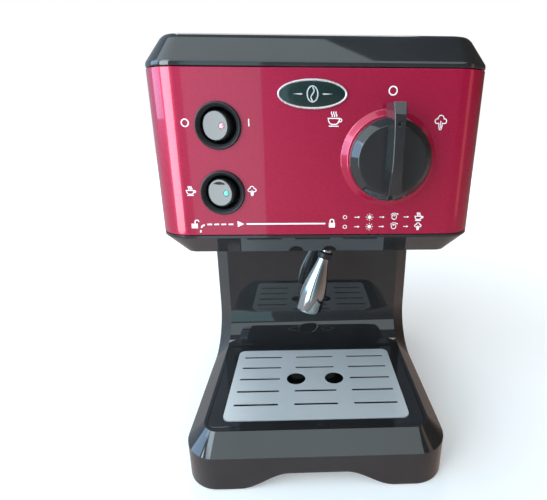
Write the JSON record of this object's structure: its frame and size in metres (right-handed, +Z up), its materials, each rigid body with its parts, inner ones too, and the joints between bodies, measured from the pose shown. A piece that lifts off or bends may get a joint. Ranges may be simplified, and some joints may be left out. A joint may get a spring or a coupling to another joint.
{
  "type": "espresso machine",
  "caption": "Compact pump espresso machine with a crimson control panel, round rocker switches, steam knob, swivelling frothing wand, lift-out drip tray and rear water tank.",
  "frame": {"origin": "on the table, under the centre of the bounding box", "axes": "+Z up, -Y to the front (the control panel), +X to the right of somebody facing the machine"},
  "size_m": [0.2036, 0.283, 0.3148],
  "materials": {
    "gloss_black": "high-gloss moulded ABS, fine scuffs",
    "satin_black": "satin moulded plastic",
    "crimson": "crimson metallic paint under clear lacquer",
    "silver_steel": "satin stainless steel",
    "chrome": "polished chrome plate",
    "aluminium": "die-cast aluminium",
    "brass": "machined brass",
    "badge_green": "dark green-black enamel, blank",
    "red_lens": "translucent red lamp lens",
    "green_lens": "translucent green lamp lens",
    "rubber": "matt moulded rubber",
    "silicone": "milky silicone",
    "smoked_plastic": "smoked transparent plastic",
    "coil_plastic": "filled nylon"
  },
  "bodies": {
    "machine": {"badge_plate": "badge_green", "badge_rim": "chrome", "base_plate": "satin_black", "base_screw_1": "silver_steel", "base_screw_2": "silver_steel", "base_screw_3": "silver_steel", "base_screw_4": "silver_steel", "body_housing": "gloss_black", "boiler_body": "aluminium", "boiler_cover": "aluminium", "cord_gland": "rubber", "front_fascia": "crimson", "group_gasket": "rubber", "group_head": "aluminium", "head_housing": "gloss_black", "inlet_hose": "silicone", "mode_bezel": "satin_black", "mode_switch_body": "coil_plastic", "power_bezel": "satin_black", "power_switch_body": "coil_plastic", "pressure_pipe": "aluminium", "pump_body": "coil_plastic", "pump_bracket": "silver_steel", "pump_damper_lower": "rubber", "pump_damper_upper": "rubber", "rubber_foot_1": "rubber", "rubber_foot_2": "rubber", "rubber_foot_3": "rubber", "rubber_foot_4": "rubber", "screen_screw": "chrome", "shower_screen": "chrome", "steam_tube": "aluminium", "steam_valve": "brass", "tank_seat": "silicone", "terminal_block": "coil_plastic", "thermostat_1": "coil_plastic", "thermostat_2": "coil_plastic", "top_cover": "gloss_black", "wand_socket": "satin_black"},
    "steam_knob": {"steam_knob": "satin_black", "knob_spindle": "brass"},
    "power_rocker": {"power_rocker": "gloss_black", "power_lens": "red_lens"},
    "mode_rocker": {"mode_rocker": "gloss_black", "mode_lens": "green_lens"},
    "wand_ball": {"wand_ball": "chrome"},
    "steam_wand": {"wand_pipe": "chrome", "wand_nut": "chrome", "wand_collar": "satin_black", "frothing_sleeve": "chrome", "steam_nozzle": "brass"},
    "drip_tray": {"drip_tray": "gloss_black"},
    "drip_grid": {"drip_grid": "silver_steel"},
    "water_tank": {"water_tank": "smoked_plastic", "lid_pin": "silver_steel", "tank_valve": "satin_black"},
    "tank_plunger": {"tank_plunger": "silicone"},
    "tank_lid": {"tank_lid": "gloss_black"}
  },
  "joints": [
    {"name": "knob_turn", "type": "hinge", "parent": "machine", "child": "steam_knob", "pos_m": [0.0418, -0.114, 0.2461], "axis": [0, -1, 0], "range_deg": [-55, 55]},
    {"name": "power_rock", "type": "hinge", "parent": "machine", "child": "power_rocker", "pos_m": [-0.0583, -0.11, 0.2647], "axis": [0, 0, 1], "range_deg": [0, 34]},
    {"name": "mode_rock", "type": "hinge", "parent": "machine", "child": "mode_rocker", "pos_m": [-0.0583, -0.11, 0.2257], "axis": [0, 0, 1], "range_deg": [0, 34]},
    {"name": "wand_turn", "type": "hinge", "parent": "machine", "child": "wand_ball", "pos_m": [0.0223, 0.001, 0.186], "axis": [0, 0, 1], "range_deg": [-20, 150]},
    {"name": "wand_tilt", "type": "hinge", "parent": "wand_ball", "child": "steam_wand", "pos_m": [0.0223, 0.001, 0.186], "axis": [0, 1, 0], "range_deg": [-15.8, 6]},
    {"name": "tray_lift", "type": "slide", "parent": "machine", "child": "drip_tray", "axis": [0, 0, 1], "range_m": [0, 0.03]},
    {"name": "grid_lift", "type": "slide", "parent": "drip_tray", "child": "drip_grid", "axis": [0, 0, 1], "range_m": [0, 0.012]},
    {"name": "tank_lift", "type": "slide", "parent": "machine", "child": "water_tank", "axis": [0, 0, 1], "range_m": [0, 0.19]},
    {"name": "plunger_push", "type": "slide", "parent": "water_tank", "child": "tank_plunger", "axis": [0, 0, 1], "range_m": [0, 0.003], "stiffness_N_per_m": 60},
    {"name": "lid_hinge", "type": "hinge", "parent": "water_tank", "child": "tank_lid", "pos_m": [0, 0.133, 0.2995], "axis": [-1, 0, 0], "range_deg": [0, 90]}
  ]
}
